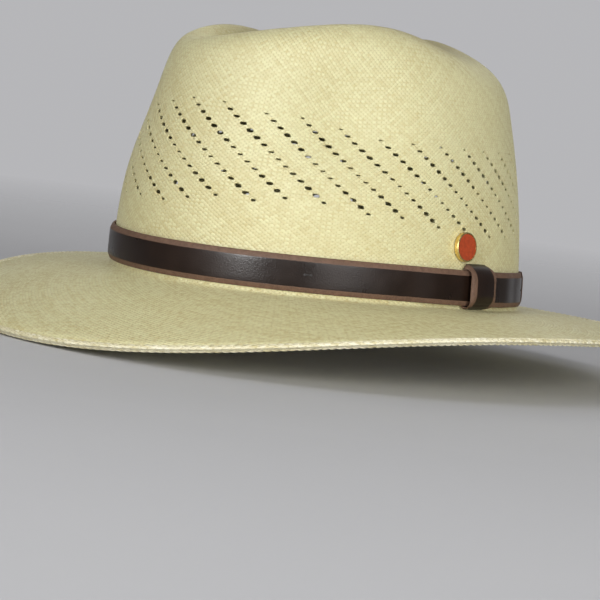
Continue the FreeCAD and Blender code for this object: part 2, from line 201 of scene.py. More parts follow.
# ---------------------------------------------------------------- the hat's shape

def smooth(t):
    t = np.clip(t, 0.0, 1.0)
    return t * t * (3.0 - 2.0 * t)


def series(sizes, angle):
    return sum(size * np.cos(turn * angle) for turn, size in enumerate(sizes))


def break_height(angle):
    return BREAK_LEVEL + BREAK_RISE_SIDES * np.sin(angle) ** 2 + BREAK_RISE_FRONT * np.cos(angle)


def point(x, y, z):
    return np.stack(np.broadcast_arrays(x, y, z), axis=-1)


def unit(vectors):
    return vectors / np.linalg.norm(vectors, axis=-1, keepdims=True)


def head_point(angle, scale=1.0):
    return point(HALF_WIDTH * scale * np.sin(angle), -HALF_LENGTH * scale * np.cos(angle), 0.0)


def head_normal(angle):
    return unit(point(np.sin(angle) / HALF_WIDTH, -np.cos(angle) / HALF_LENGTH, 0.0))


def wall_scale(angle, height):
    level = height / 100.0
    return 1.0 - series(WALL_LEAN, angle) * level - series(WALL_CURVE, angle) * level ** 2


def wall_point(angle, height, stand=0.0):
    foot = head_point(angle)
    normal = head_normal(angle)
    inset = (1.0 - wall_scale(angle, height)) * (foot * normal).sum(-1)
    return foot + normal * np.asarray(stand - inset)[..., None] + UP * np.asarray(height)[..., None]


def pinch(angle, height):
    from_front = np.degrees(np.arccos(np.cos(angle)))
    sideways = (from_front - PINCH_ANGLE) / PINCH_SPREAD
    upwards = (height - PINCH_HEIGHT) / PINCH_SPREAD
    return PINCH_DEPTH * np.exp(-sideways ** 2 - upwards ** 2)


def front_corner(angle):
    """How much an angle belongs to the front corner of the ridge, from 0 to 1."""
    away = (np.degrees(angle) - FRONT_CORNER_ANGLE + 180.0) % 360.0 - 180.0
    return np.exp(-(away / FRONT_CORNER_SPREAD) ** 2)


def crown_controls(angle):
    corner = front_corner(angle)
    ridge = series(RIDGE_HEIGHT, angle) + RIDGE_LEFT_RISE * np.sin(angle) - FRONT_CORNER_DROP * corner
    reach = series(RIDGE_REACH, angle) + FRONT_CORNER_REACH * corner
    depth = ridge - HOLLOW_FLOOR
    shoulder = ridge - series(SHOULDER_DROP, angle)
    fill = series(SHOULDER_FILL, angle) * wall_scale(angle, shoulder)
    steps = [
        (0.03, HOLLOW_FLOOR),
        (0.12, HOLLOW_FLOOR),
        (0.41 * reach, HOLLOW_FLOOR + 0.10 * depth),
        (0.67 * reach, HOLLOW_FLOOR + 0.48 * depth),
        (0.87 * reach, ridge - 2.9),
        (1.05 * reach, ridge + RIDGE_CROWNING),
        (fill, shoulder + series(SHOULDER_RISE, angle)),
        (wall_scale(angle, shoulder - 10.0), shoulder - 9.0),
    ]
    steps += [(wall_scale(angle, level * ridge), level * ridge) for level in WALL_LEVELS]
    rows = []
    for scale, height in steps:
        scale = scale * np.ones_like(angle)
        height = height * np.ones_like(angle)
        inwards = pinch(angle, height) * smooth(scale / 0.5)
        rows.append(head_point(angle, scale) - head_normal(angle) * inwards[:, None] + UP * height[:, None])
    return rows


def brim_point(angle, part):
    bend = BRIM_FIRST_SLOPE * part + (1.0 - BRIM_FIRST_SLOPE) * part ** 2
    edge = series(BRIM_EDGE, angle) + BRIM_LEFT_RISE * np.sin(angle)
    height = break_height(angle) + (edge - break_height(angle)) * bend
    return head_point(angle) + head_normal(angle) * (BRIM_WIDTH * part) + UP * height[:, None]


def bead_middle(angle):
    return brim_point(angle, 1.0) - head_normal(angle) * BEAD_RADIUS - UP * (STRAW_THICKNESS / 2.0)


def spline_shares(count, places):
    """How much each of count control rows counts at each place along a clamped, even cubic spline."""
    knots = np.concatenate([np.zeros(3), np.arange(count - 2), np.full(3, count - 3.0)])
    places = np.clip(places, 0.0, count - 3.0 - 1e-9)
    shares = ((places[:, None] >= knots[:-1]) & (places[:, None] < knots[1:])).astype(float)
    for degree in range(1, 4):
        rising = knots[degree:-1] - knots[:-degree - 1]
        falling = knots[degree + 1:] - knots[1:-degree]
        past = places[:, None] - knots[:-degree - 1]
        left = knots[degree + 1:] - places[:, None]
        up = np.where(rising > 0, past / np.where(rising > 0, rising, 1), 0)
        down = np.where(falling > 0, left / np.where(falling > 0, falling, 1), 0)
        shares = up * shares[:, :-1] + down * shares[:, 1:]
    return shares


def equal_arc_angles(count, first):
    """Angles that divide the head opening into equal lengths of arc."""
    fine = np.linspace(0.0, 2.0 * math.pi, 7201)
    steps = np.hypot(HALF_WIDTH * np.cos(fine), HALF_LENGTH * np.sin(fine))
    arc = np.concatenate([[0.0], np.cumsum((steps[1:] + steps[:-1]) * 0.5 * (fine[1] - fine[0]))])
    return np.interp((first + arc[-1] * np.arange(count) / count) % arc[-1], arc, fine)


# ---------------------------------------------------------------- meshes

def new_mesh(name, points, faces, uv=None, uv_name="weave", sharp=None):
    """A smooth mesh from points in millimetres.  uv holds one pair for each corner of each face."""
    mesh = bpy.data.meshes.new(name)
    mesh.from_pydata((np.asarray(points) * METRE).tolist(), [], faces)
    mesh.polygons.foreach_set("use_smooth", np.ones(len(mesh.polygons), bool))
    if uv is not None:
        layer = mesh.uv_layers.new(name=uv_name)
        layer.data.foreach_set("uv", np.asarray(uv, np.float32).ravel())
    mesh.validate()
    whole = bmesh.new()
    whole.from_mesh(mesh)
    bmesh.ops.recalc_face_normals(whole, faces=whole.faces)
    whole.to_mesh(mesh)
    whole.free()
    if sharp is not None:
        mesh.set_sharp_from_angle(angle=math.radians(sharp))
    mesh.update()
    piece = bpy.data.objects.new(name, mesh)
    bpy.context.collection.objects.link(piece)
    return piece


def corner_uv(pairs, faces, turn=None):
    """Each face's corners get their vertices' pairs, all on one side of where the count starts again."""
    flat = np.concatenate([np.asarray(face) for face in faces])
    uv = np.asarray(pairs, float)[flat]
    if turn is not None:
        sizes = np.array([len(face) for face in faces])
        starts = np.concatenate([[0], np.cumsum(sizes)[:-1]])
        highest = np.repeat(np.maximum.reduceat(uv[:, 0], starts), sizes)
        uv[:, 0] += np.where(highest - uv[:, 0] > turn / 2.0, turn, 0.0)
    return uv


def finish_piece(piece, material, slot, *nodes, body="hat"):
    piece.data.materials.append(material)
    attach(piece, body)
    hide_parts(*nodes)
    return piece


# ---------------------------------------------------------------- materials

class Output:
    """What a node gives.  Sums, differences and products of outputs are nodes of their own."""

    def __init__(self, nodes, socket):
        self.nodes = nodes
        self.socket = socket

    def __add__(self, other):
        return self.nodes.math("ADD", self, other)

    def __sub__(self, other):
        return self.nodes.math("SUBTRACT", self, other)

    def __rsub__(self, other):
        return self.nodes.math("SUBTRACT", other, self)

    def __mul__(self, other):
        return self.nodes.math("MULTIPLY", self, other)


class Nodes:
    """The node tree of a material or a world, and short ways to add to it."""

    def __init__(self, owner):
        owner.use_nodes = True
        self.owner = owner
        self.tree = owner.node_tree

    def first(self, kind):
        return next(node for node in self.tree.nodes if node.type == kind)

    def put(self, socket, value):
        if isinstance(value, Output):
            self.tree.links.new(value.socket, socket)
        elif isinstance(value, tuple) and socket.type == "RGBA":
            socket.default_value = (*value, 1.0)
        else:
            socket.default_value = value

    def node(self, kind, *values, output=0, settings=None, **inputs):
        """A new node: its inputs are given in order or by name, with _ for a space."""
        made = self.tree.nodes.new(kind)
        for name, value in (settings or {}).items():
            setattr(made, name, value)
        for socket, value in zip(made.inputs, values):
            self.put(socket, value)
        for name, value in inputs.items():
            self.put(made.inputs[name.replace("_", " ")], value)
        return Output(self, made.outputs[output])

    def math(self, operation, *values):
        return self.node("ShaderNodeMath", *values, settings={"operation": operation})

    def vector_math(self, operation, *values, output=0):
        return self.node("ShaderNodeVectorMath", *values, output=output, settings={"operation": operation})

    def range(self, value, low, high, new_low=0.0, new_high=1.0, way="LINEAR"):
        return self.node(
            "ShaderNodeMapRange", Value=value, From_Min=low, From_Max=high, To_Min=new_low, To_Max=new_high,
            settings={"interpolation_type": way})

    def blend(self, share, first, second, way="MIX"):
        made = self.tree.nodes.new("ShaderNodeMix")
        made.data_type = "RGBA"
        made.blend_type = way
        for index, value in ((0, share), (6, first), (7, second)):
            self.put(made.inputs[index], value)
        return Output(self, made.outputs[2])

    def pair(self, name):
        """The two numbers of a UV map."""
        uv = self.node("ShaderNodeUVMap", settings={"uv_map": name})
        split = self.node("ShaderNodeSeparateXYZ", uv).socket.node
        return Output(self, split.outputs[0]), Output(self, split.outputs[1])

    def vector(self, x, y, z=0.0):
        return self.node("ShaderNodeCombineXYZ", x, y, z)

    def place(self):
        return self.node("ShaderNodeTexCoord", output="Object")

    def noise(self, where, scale, detail=3.0, roughness=0.5):
        return self.node("ShaderNodeTexNoise", Vector=where, Scale=scale, Detail=detail, Roughness=roughness)

    def bump(self, height, depth, strength, **under):
        return self.node("ShaderNodeBump", Height=height, Distance=depth * METRE, Strength=strength, **under)


class Material(Nodes):
    """A material with a Principled surface."""

    def __init__(self, name):
        super().__init__(bpy.data.materials.new(name))
        self.surface = self.first("BSDF_PRINCIPLED")

    def finish(self, **inputs):
        for name, value in inputs.items():
            self.put(self.surface.inputs[name.replace("_", " ")], value)
        return self.owner


def shaded(colour, share):
    return tuple(share * part for part in colour)


STRAW_CREAM = (0.775, 0.735, 0.425)
STRAW_TAN = (0.64, 0.555, 0.27)
STRAW_EDGE_PAINTED_LIGHT = (0.93, 0.88, 0.66)
STRAW_GAP_PAINTED_SHADE = (0.46, 0.39, 0.17)
HOLLOW_PAINTED_SHADE = (0.58, 0.54, 0.42)
DARK_LEATHER = (0.019, 0.0095, 0.0058)
RAW_LEATHER = (0.21, 0.12, 0.078)
WOBBLE = 0.45
STRAW_ROUNDING = 2.4
CROWN_OF_STRAW = 0.75
WAVE_OF_STRAW = 0.55
FIRST_WAY_ABOVE = 0.14
OWN_TONE = 0.32
FIBRE_TONE = 0.72
FLOAT_TONE = 0.3
PATCH_TONE = 0.5
MOTTLE_TONE = 1.9


def straw_material(name, cream=STRAW_CREAM, tan=STRAW_TAN, mottle=0.0):
    """Straws woven over and under: the UV map's sum counts one way's straws, its difference the other's."""
    m = Material(name)
    place = m.place()
    around, along = m.pair("weave")
    wobble = (m.noise(place, 160.0) - 0.5) * WOBBLE
    ways = []
    for count in (around + along + wobble, around - along + wobble):
        inside = m.math("ABSOLUTE", m.math("FRACT", count) * 2.0 - 1.0)
        ways.append((count, m.math("FLOOR", count), 1.0 - m.math("POWER", inside, STRAW_ROUNDING)))
    heights = []
    shades = []
    for index, (count, straw, crown) in enumerate(ways):
        other_count = ways[1 - index][0]
        wave = m.math("SINE", (other_count + straw) * math.pi) * (WAVE_OF_STRAW, -WAVE_OF_STRAW)[index]
        heights.append(crown * CROWN_OF_STRAW + (wave + (FIRST_WAY_ABOVE, 0.0)[index]))
        number = m.math("WRAP", straw, STRAWS_AROUND, 0.0) + (0.5 + 400.0 * index)
        tone = m.node("ShaderNodeTexWhiteNoise", settings={"noise_dimensions": "1D"}, W=number)
        fibre = m.noise(m.vector(count * 6.0, other_count * 0.35, number), 1.0, 2.0)
        # The 0.1 added for the second way makes its straws darker: painted shade for the light falling
        # differently on straws that run the other way.
        shades.append(tone * OWN_TONE + (0.1 * index + 0.01) + fibre * FIBRE_TONE)
    first_on_top = m.math("GREATER_THAN", *heights)
    height = m.math("MAXIMUM", *heights)
    shade = m.node("ShaderNodeMix", Factor=first_on_top, A=shades[1], B=shades[0])
    crossing = m.vector(ways[0][1], ways[1][1])
    float_tone = m.node("ShaderNodeTexWhiteNoise", settings={"noise_dimensions": "2D"}, Vector=crossing)
    uneven = m.noise(place, 460.0, 3.0, 0.65)
    shade += (m.noise(place, 22.0, 2.0) - 0.5) * PATCH_TONE
    shade += (float_tone - 0.5) * FLOAT_TONE
    shade += (uneven - 0.5) * (MOTTLE_TONE * mottle)
    colour = m.blend(m.range(shade, 0.35, 1.0), cream, tan)
    # Painted shade: where both straws lie low, in the gaps and crossings between them, the colour is blended
    # towards a dark tan.
    colour = m.blend(m.range(height, 0.7, 0.05), colour, STRAW_GAP_PAINTED_SHADE)
    # Painted shade: inside the crown's top hollow, near the middle, the straw's colour is multiplied darker
    # and browner, standing in for the shade that falls inside the hollow.
    head = (1.0 / (HALF_WIDTH * METRE), 1.0 / (HALF_LENGTH * METRE), 0.0)
    reach = m.vector_math("LENGTH", m.vector_math("MULTIPLY", place, head), output="Value")
    colour = m.blend(m.range(reach, 0.68, 0.5), colour, HOLLOW_PAINTED_SHADE, "MULTIPLY")
    normal = m.bump(height, 0.3, 0.85, Normal=m.bump(uneven, 0.35 * mottle, 0.8))
    roughness = m.range(shade, 0.2, 1.0, 0.42, 0.6)
    return m.finish(Base_Color=colour, Roughness=roughness, Normal=normal, Specular_IOR_Level=0.32)


def leather_material(name, colour, raw, width=None, bevel=0.0, gloss=0.3):
    """Grained leather.  Where width is given, both long edges show the raw skin for the width of a bevel."""
    m = Material(name)
    place = m.place()
    grain = m.node("ShaderNodeTexVoronoi", Vector=place, Scale=1500.0)
    cloud = m.range(m.noise(place, 55.0), 0.3, 0.7)
    face = m.blend(cloud, shaded(colour, 0.62), colour)
    roughness = m.range(cloud, 0.0, 1.0, gloss - 0.04, gloss + 0.08)
    normal = m.bump(grain * 0.7 + m.noise(place, 2600.0, 2.0) * 0.3, 0.09, 0.6)
    if width is not None:
        along, across = m.pair("leather")
        uneven = (m.noise(place, 420.0) - 0.5) * 0.5
        from_edge = m.math("MINIMUM", across, width - across)
        from_edge = m.math("MINIMUM", from_edge, along + bevel * 0.4)
        open_skin = m.range(from_edge + uneven, bevel + 0.08, bevel - 0.08)
        strands = m.noise(m.vector(along * 0.9, across * 6.0), 1.6, 4.0, 0.65)
        raw_colour = m.blend(m.range(strands + uneven, 0.3, 0.7), shaded(raw, 0.45), raw)
        face = m.blend(open_skin, face, raw_colour)
        roughness += open_skin * 0.3
        normal = m.bump(strands * open_skin, 0.12, 0.5, Normal=normal)
    return m.finish(Base_Color=face, Roughness=roughness, Normal=normal, Specular_IOR_Level=0.2)


def metal_material(name, colour):
    m = Material(name)
    place = m.place()
    scratches = m.noise(place, 900.0, 4.0, 0.7)
    tone = m.blend(m.range(m.noise(place, 120.0), 0.35, 0.75), colour, shaded(colour, 0.72))
    return m.finish(
        Base_Color=tone, Metallic=1.0, Roughness=m.range(scratches, 0.3, 0.75, 0.16, 0.34),
        Normal=m.bump(scratches, 0.01, 0.3))


def enamel_material(name, colour):
    m = Material(name)
    depth = m.noise(m.place(), 700.0)
    tone = m.blend(m.range(depth, 0.3, 0.7), shaded(colour, 0.7), colour)
    return m.finish(
        Base_Color=tone, Roughness=m.range(depth, 0.3, 0.7, 0.16, 0.24), Coat_Weight=0.6, Coat_Roughness=0.05,
        Normal=m.bump(depth, 0.02, 0.3))


def cloth_material(name, colour, gloss=0.75):
    """Plain woven tape, ribbon, thread or paper: fine crossing threads over a clouded colour."""
    m = Material(name)
    place = m.place()
    waves = [
        m.node(
            "ShaderNodeTexWave", output=1, Vector=place, Scale=2400.0, Distortion=1.5,
            settings={"bands_direction": way})
        for way in ("DIAGONAL", "Z")
    ]
    weave = waves[0] * waves[1]
    cloud = m.noise(place, 300.0)
    tone = m.blend(m.range(cloud, 0.3, 0.7), shaded(colour, 0.75), colour)
    tone = m.blend(weave * 0.35, tone, shaded(colour, 0.6))
    roughness = m.range(cloud, 0.3, 0.7, gloss - 0.1, gloss)
    return m.finish(Base_Color=tone, Roughness=roughness, Normal=m.bump(weave, 0.05, 0.5))


# ---------------------------------------------------------------- straw

def outside_controls(angle):
    foot = wall_point(angle, break_height(angle) + 2.5)
    corner = head_point(angle) + UP * break_height(angle)[:, None]
    return crown_controls(angle) + [foot, corner] + [brim_point(angle, part) for part in BRIM_STEPS]


def outside_profile(angle):
    """Fine points of the outside of the straw, from the middle of the crown's hollow to the bead."""
    controls = np.array(outside_controls(angle) + [bead_middle(angle) + UP * (STRAW_THICKNESS / 2.0)] * 3)
    places = np.linspace(0.0, OUTSIDE_ROWS - 1.0, PROFILE_POINTS)
    return places, np.einsum("pk,kax->pax", spline_shares(len(controls), places), controls)


def along_rows(profile):
    """Length along each column's profile."""
    steps = np.linalg.norm(np.diff(profile, axis=0), axis=2)
    return np.concatenate([np.zeros((1, profile.shape[1])), np.cumsum(steps, axis=0)])


def at_lengths(wanted):
    """Points of each column's profile at the wanted lengths: wanted has a row for each row of points."""
    points = np.empty((len(wanted), COLUMNS, 3))
    for column in range(COLUMNS):
        for axis in range(3):
            points[:, column, axis] = np.interp(
                wanted[:, column], LENGTHS[:, column], PROFILE[:, column, axis])
    return points


def lengths_at_place(place):
    return np.array([np.interp(place, PLACES, LENGTHS[:, column]) for column in range(COLUMNS)])


def surface_normals(grid):
    across = np.roll(grid, -1, axis=1) - np.roll(grid, 1, axis=1)
    return -unit(np.cross(across, np.gradient(grid, axis=0)))


def weave_pairs(grid, base_row):
    """For each point, how many straws it lies round the hat and how many along the weave from a base row."""
    ring = np.roll(grid, -1, axis=1) - grid
    perimeter = np.linalg.norm(ring, axis=2).sum(axis=1)
    slope = np.clip(STRAWS_AROUND * STRAW_PITCH / perimeter, 0.0, 0.985)
    rise = np.sqrt(1.0 - slope ** 2) / STRAW_PITCH
    steps = np.linalg.norm(np.diff(grid, axis=0), axis=2)
    steps *= ((rise[1:] + rise[:-1]) / 2.0)[:, None]
    counts = np.concatenate([np.zeros((1, grid.shape[1])), np.cumsum(steps, axis=0)])
    around = np.broadcast_to(STRAWS_AROUND * np.arange(COLUMNS) / COLUMNS, counts.shape)
    return np.stack([around, counts[base_row] - counts], axis=-1)


ANGLES = equal_arc_angles(COLUMNS, FIRST_ARC)
PLACES, PROFILE = outside_profile(ANGLES)
LENGTHS = along_rows(PROFILE)


def length_at_height(height):
    """Where each column's profile passes a height on the crown's wall."""
    wall = (PLACES > SHOULDER_PLACE) & (PLACES <= CORNER_PLACE)
    heights = PROFILE[wall][:, :, 2]
    lengths = LENGTHS[wall]
    return np.array([
        np.interp(-height[column], -heights[:, column], lengths[:, column]) for column in range(COLUMNS)])


def ring_faces(top, bottom, columns, outward=True):
    faces = []
    for column in range(columns):
        after = (column + 1) % columns
        face = (top + column, bottom + column, bottom + after, top + after)
        faces.append(face if outward else face[::-1])
    return faces


def first_hole(row):
    """The step of the lattice at which a row of holes starts: rows start lower away from the front."""
    turned = 360.0 * (HOLE_COLUMN + COLUMNS_PER_ROW * row) / COLUMNS - ROWS_HIGHEST
    from_highest = abs((turned + 180.0) % 360.0 - 180.0)
    return round(float(ROWS_DROP * smooth(from_highest / ROWS_SPREAD)))


def hole_size(step, draw):
    """Holes swell twice along a row, and its first and last ones are small."""
    swell = 0.5 - 0.5 * math.cos(2.0 * math.pi * (step + 0.7) / 9.0)
    end = 0.72 if step in (0, HOLES_IN_ROW - 1) else 1.0
    length = HOLE_HALF_LENGTH * (0.78 + 0.22 * swell) * end * draw.uniform(0.93, 1.04)
    height = HOLE_HALF_HEIGHT * (0.45 + 0.55 * swell) * end * draw.uniform(0.85, 1.1)
    return length, height


def hole_corner(angle, length, height):
    """A point round a hole: a leaning, rounded four-sided gap, as the straws leave it."""
    across = length * math.copysign(abs(math.cos(angle)) ** 0.7, math.cos(angle))
    rise = height * math.copysign(abs(math.sin(angle)) ** 0.7, math.sin(angle))
    return across - HOLE_LEAN * rise, rise


def loop_faces(first, second):
    """Faces between two loops of as many vertices each."""
    count = len(first)
    return [
        (first[corner], first[(corner + 1) % count], second[(corner + 1) % count], second[corner])
        for corner in range(count)
    ]


class CrownShell:
    """The outside and inside points of the crown, with the holes cut through."""

    def __init__(self):
        levels = HOLE_LEVEL + ROW_STEP * np.arange(LEVELS_ABOVE, -LEVELS_BELOW - 1, -1)
        zone = np.array([length_at_height(np.full(COLUMNS, level)) for level in levels])
        foot = length_at_height(break_height(ANGLES) + JOIN_HEIGHT)
        upper = zone[0] * (0.02 + 0.98 * np.linspace(0.0, 1.0, TOP_ROWS + 1)[:-1, None])
        lower = zone[-1] + (foot - zone[-1]) * np.linspace(0.0, 1.0, LOW_ROWS + 1)[1:, None]
        lengths = np.concatenate([upper, zone, lower])
        self.grid = at_lengths(lengths)
        self.rows = len(self.grid)
        self.last_level = TOP_ROWS + len(levels)
        self.normals = surface_normals(self.grid)
        self.weave = weave_pairs(self.grid, self.rows - 1)
        reach = lengths / (2.0 * STRAW_PITCH)
        self.top_weave = np.stack([
            reach * (np.sin(ANGLES) + np.cos(ANGLES)), reach * (np.sin(ANGLES) - np.cos(ANGLES))], axis=-1)
        self.outside = list(self.grid.reshape(-1, 3))
        self.inside = list((self.grid - self.normals * STRAW_THICKNESS).reshape(-1, 3))
        self.pairs = list(self.weave.reshape(-1, 2))
        self.faces = []
        self.levels = []
        self.rims = []

    def cut_hole(self, level, column, size, turn):
        """Two loops of points round a hole: its lip and its mouth, which lies a little deeper."""
        column %= COLUMNS
        after = (column + 1) % COLUMNS
        centre = self.grid[level, column]
        normal = self.normals[level, column]
        sideways = self.grid[level, after] - self.grid[level, (column - 1) % COLUMNS]
        pace = np.linalg.norm(sideways) / 2.0
        sideways = unit(sideways)
        upwards = np.cross(normal, sideways)
        rise_of_weave = self.weave[level - 2, column, 1] - self.weave[level + 2, column, 1]
        weave_pace = np.array([STRAWS_AROUND / COLUMNS / pace, rise_of_weave / (4.0 * ROW_STEP)])
        rings = []
        for lip in (HOLE_LIP, 0.0):
            rings.append(range(len(self.outside), len(self.outside) + HOLE_CORNERS))
            for corner in range(HOLE_CORNERS):
                angle = 2.0 * math.pi * corner / HOLE_CORNERS
                across, rise = hole_corner(angle, size[0] + lip, size[1] + lip)
                rise += across * turn * 0.5
                inner = (across, rise)
                if lip:
                    wide = min(size[0] + 2.0 * lip, HOLE_REACH[0])
                    tall = min(size[1] + 4.0 * lip, HOLE_REACH[1])
                    inner = hole_corner(angle, wide, tall)
                place = centre + sideways * across + upwards * rise
                inner_place = centre + sideways * inner[0] + upwards * inner[1]
                self.outside.append(place - normal * (0.0 if lip else HOLE_EDGE_DEPTH[0]))
                self.inside.append(inner_place - normal * (STRAW_THICKNESS if lip else HOLE_EDGE_DEPTH[1]))
                self.pairs.append(self.weave[level, column] + weave_pace * np.array([across, rise]))
        border = [(1, 0), (1, -1), (1, -2), (0, -2), (-1, -2), (-1, -1)]
        border += [(-across, -down) for across, down in border]
        edge = [(level + down) * COLUMNS + (column + across) % COLUMNS for across, down in border]
        self.rims.append((edge, *rings))

    def cut_rows(self, draw):
        """Cuts every hole and returns the cells of the grid that they take."""
        taken = set()
        for row in range(HOLE_ROWS):
            for step in range(HOLES_IN_ROW):
                lattice = first_hole(row) + step
                column = HOLE_COLUMN + COLUMNS_PER_ROW * row + 2 * lattice
                level = TOP_ROWS + LEVELS_ABOVE + 3 * lattice
                if not TOP_ROWS + 2 < level < self.last_level - 3:
                    continue
                size = hole_size(step, draw)
                self.cut_hole(level, column, size, draw.uniform(-0.12, 0.12))
                for down in range(-2, 2):
                    taken |= {(level + down, (column + across) % COLUMNS) for across in (-1, 0)}
        return taken

    def close(self, taken):
        """Faces of the outside, the inside, the holes' walls, the foot and the middle of the top."""
        for row in range(self.rows - 1):
            ring = ring_faces(row * COLUMNS, (row + 1) * COLUMNS, COLUMNS)
            kept = [face for column, face in enumerate(ring) if (row, column) not in taken]
            self.faces += kept
            self.levels += [row] * len(kept)
        for edge, lip, mouth in self.rims:
            self.faces += loop_faces(edge, lip) + loop_faces(lip, mouth)
        total = len(self.outside)
        self.levels += [TOP_ROWS] * (len(self.faces) - len(self.levels))
        self.faces += [tuple(vertex + total for vertex in face[::-1]) for face in self.faces]
        self.levels *= 2
        for _, _, mouth in self.rims:
            self.faces += loop_faces(mouth, range(mouth[0] + total, mouth[-1] + total + 1))
        foot = (self.rows - 1) * COLUMNS
        self.faces += ring_faces(foot, foot + total, COLUMNS)
        self.levels += [TOP_ROWS] * (len(self.faces) - len(self.levels))
        middle = 2 * total
        for column in range(COLUMNS):
            after = (column + 1) % COLUMNS
            self.faces += [(middle, column, after), (middle + 1, total + after, total + column)]
            self.levels += [0, 0]

    def corner_pairs(self):
        """The weave turns into a plain square one on top, where rows round the crown would run together."""
        ends = np.zeros((2, 2))
        sides = np.array(self.pairs)
        top = sides.copy()
        top[:self.rows * COLUMNS] = self.top_weave.reshape(-1, 2)
        uv = corner_uv(np.concatenate([sides, sides, ends]), self.faces, STRAWS_AROUND)
        on_top = np.repeat(np.array(self.levels) < CREST_ROW, [len(face) for face in self.faces])
        uv[on_top] = corner_uv(np.concatenate([top, top, ends]), self.faces)[on_top]
        return uv


def straw_crown(material):
    """The crown: closed in the hollow on top, open below, with the holes cut right through its wall."""
    shell = CrownShell()
    shell.close(shell.cut_rows(np.random.default_rng(7)))
    middle = shell.grid[0].mean(axis=0)
    points = np.array(shell.outside + shell.inside + [middle, middle - UP * STRAW_THICKNESS])
    piece = new_mesh("straw_crown", points, shell.faces, shell.corner_pairs())
    return finish_piece(piece, material, "toquilla_straw", "straw_body")


def straw_brim(material):
    """The brim and the foot of the crown's wall, down to the edge that holds the braid."""
    join = length_at_height(break_height(ANGLES) + JOIN_HEIGHT)
    turn_end = lengths_at_place(CORNER_PLACE) + FOOT_LENGTH
    finish = lengths_at_place(OUTSIDE_ROWS - 1.0)
    foot = join + (turn_end - join) * np.linspace(0.0, 1.0, FOOT_ROWS)[:, None]
    plate = turn_end + (finish - turn_end) * np.linspace(0.0, 1.0, PLATE_ROWS)[1:, None]
    grid = at_lengths(np.concatenate([foot, plate]))
    points = np.concatenate([grid, grid - surface_normals(grid) * STRAW_THICKNESS]).reshape(-1, 3)
    pairs = weave_pairs(grid, 0).reshape(-1, 2)
    total = len(pairs)
    faces = []
    for row in range(0, total - COLUMNS, COLUMNS):
        faces += ring_faces(row, row + COLUMNS, COLUMNS)
        faces += ring_faces(total + row, total + row + COLUMNS, COLUMNS, False)
    faces += ring_faces(total - COLUMNS, 2 * total - COLUMNS, COLUMNS)
    faces += ring_faces(total, 0, COLUMNS)
    uv = corner_uv(np.concatenate([pairs, pairs]), faces, STRAWS_AROUND)
    piece = new_mesh("straw_brim", points, faces, uv)
    return finish_piece(piece, material, "toquilla_straw", "straw_body")


def brim_edge_braid(material):
    """The rolled edge: straw ends worked back over the edge, each lying slantwise beside the next."""
    columns = BRAID_TURNS * BRAID_STEPS
    angles = equal_arc_angles(columns, 0.0)
    middle = bead_middle(angles)
    out = head_normal(angles)
    points = []
    pairs = []
    faces = []
    for corner in range(BRAID_CORNERS):
        turn = 2.0 * math.pi * corner / BRAID_CORNERS
        phase = BRAID_TURNS * np.arange(columns) / columns + BRAID_SLANT * turn / (2.0 * math.pi)
        radius = BEAD_RADIUS * (BRAID_SWELL[0] + BRAID_SWELL[1] * np.abs(np.sin(math.pi * phase)) ** 0.6)
        level = UP * (radius * math.sin(turn))[:, None]
        points.append(middle + out * (radius * math.cos(turn))[:, None] + level)
        pairs.append(np.stack([phase, np.full(columns, corner * 0.35)], axis=-1))
        faces += ring_faces((corner + 1) % BRAID_CORNERS * columns, corner * columns, columns)
    uv = corner_uv(np.concatenate(pairs), faces, BRAID_TURNS)
    piece = new_mesh("brim_edge_braid", np.concatenate(points), faces, uv)
    return finish_piece(piece, material, "toquilla_straw", "straw_body")


# ---------------------------------------------------------------- leather

def strap_base(angle):
    return break_height(angle) + STRAP_ABOVE_BREAK


def keeper_radius():
    angle = math.radians(KEEPER_ANGLE)
    reach = (HALF_WIDTH * math.cos(angle)) ** 2 + (HALF_LENGTH * math.sin(angle)) ** 2
    return reach ** 1.5 / (HALF_WIDTH * HALF_LENGTH)


def lap_share(turned):
    return 1.0 - smooth((turned - LAP_RAMP[0]) / (LAP_RAMP[1] - LAP_RAMP[0]))


def strap_thickness(turned):
    under_tip = STRAP_TIP_ANGLE + 360.0
    pared_under = smooth((turned - under_tip) / (LAP_RAMP[1] - LAP_RAMP[0]) + 1.0)
    return STRAP_THICKNESS - (STRAP_THICKNESS - LAP_THICKNESS) * np.maximum(lap_share(turned), pared_under)


def strap_stand(turned):
    lap = (LAP_THICKNESS + LAP_GAP) * lap_share(turned)
    room = KEEPER_STRAW_GAP + KEEPER_BACK_WALL + KEEPER_CLEARANCE - STRAP_GAP
    flat_half = math.degrees((KEEPER_WIDTH / 2.0 + KEEPER_TRAVEL) / keeper_radius()) + KEEPER_FLAT_MARGIN
    from_keeper = np.abs((turned - KEEPER_ANGLE + 180.0) % 360.0 - 180.0)
    lift = room * smooth((flat_half + KEEPER_RAMP_ANGLE - from_keeper) / KEEPER_RAMP_ANGLE)
    return STRAP_GAP + lap + lift


def strip_faces(columns, count):
    """Faces of a strip made of closed loops of count points, with both its ends closed."""
    faces = []
    for here in range(0, (columns - 1) * count, count):
        faces += loop_faces(range(here, here + count), range(here + count, here + 2 * count))
    faces.append(tuple(range(count - 1, -1, -1)))
    faces.append(tuple(range((columns - 1) * count, columns * count)))
    return faces


def strap_profile():
    """The strap's section: a flat back, thin raw edges, long bevels and a slightly crowned face."""
    high = STRAP_HEIGHT
    half = [
        (0.0, 0.3), (0.2, 0.0), (0.8, 0.0), (1.05, 0.12), (1.22, 0.4), (1.62, 1.4), (1.9, 2.1),
        (1.97, 2.4), (2.0, 2.9), (2.03, 5.0),
    ]
    return half + [(stand, high - height) for stand, height in reversed(half)]


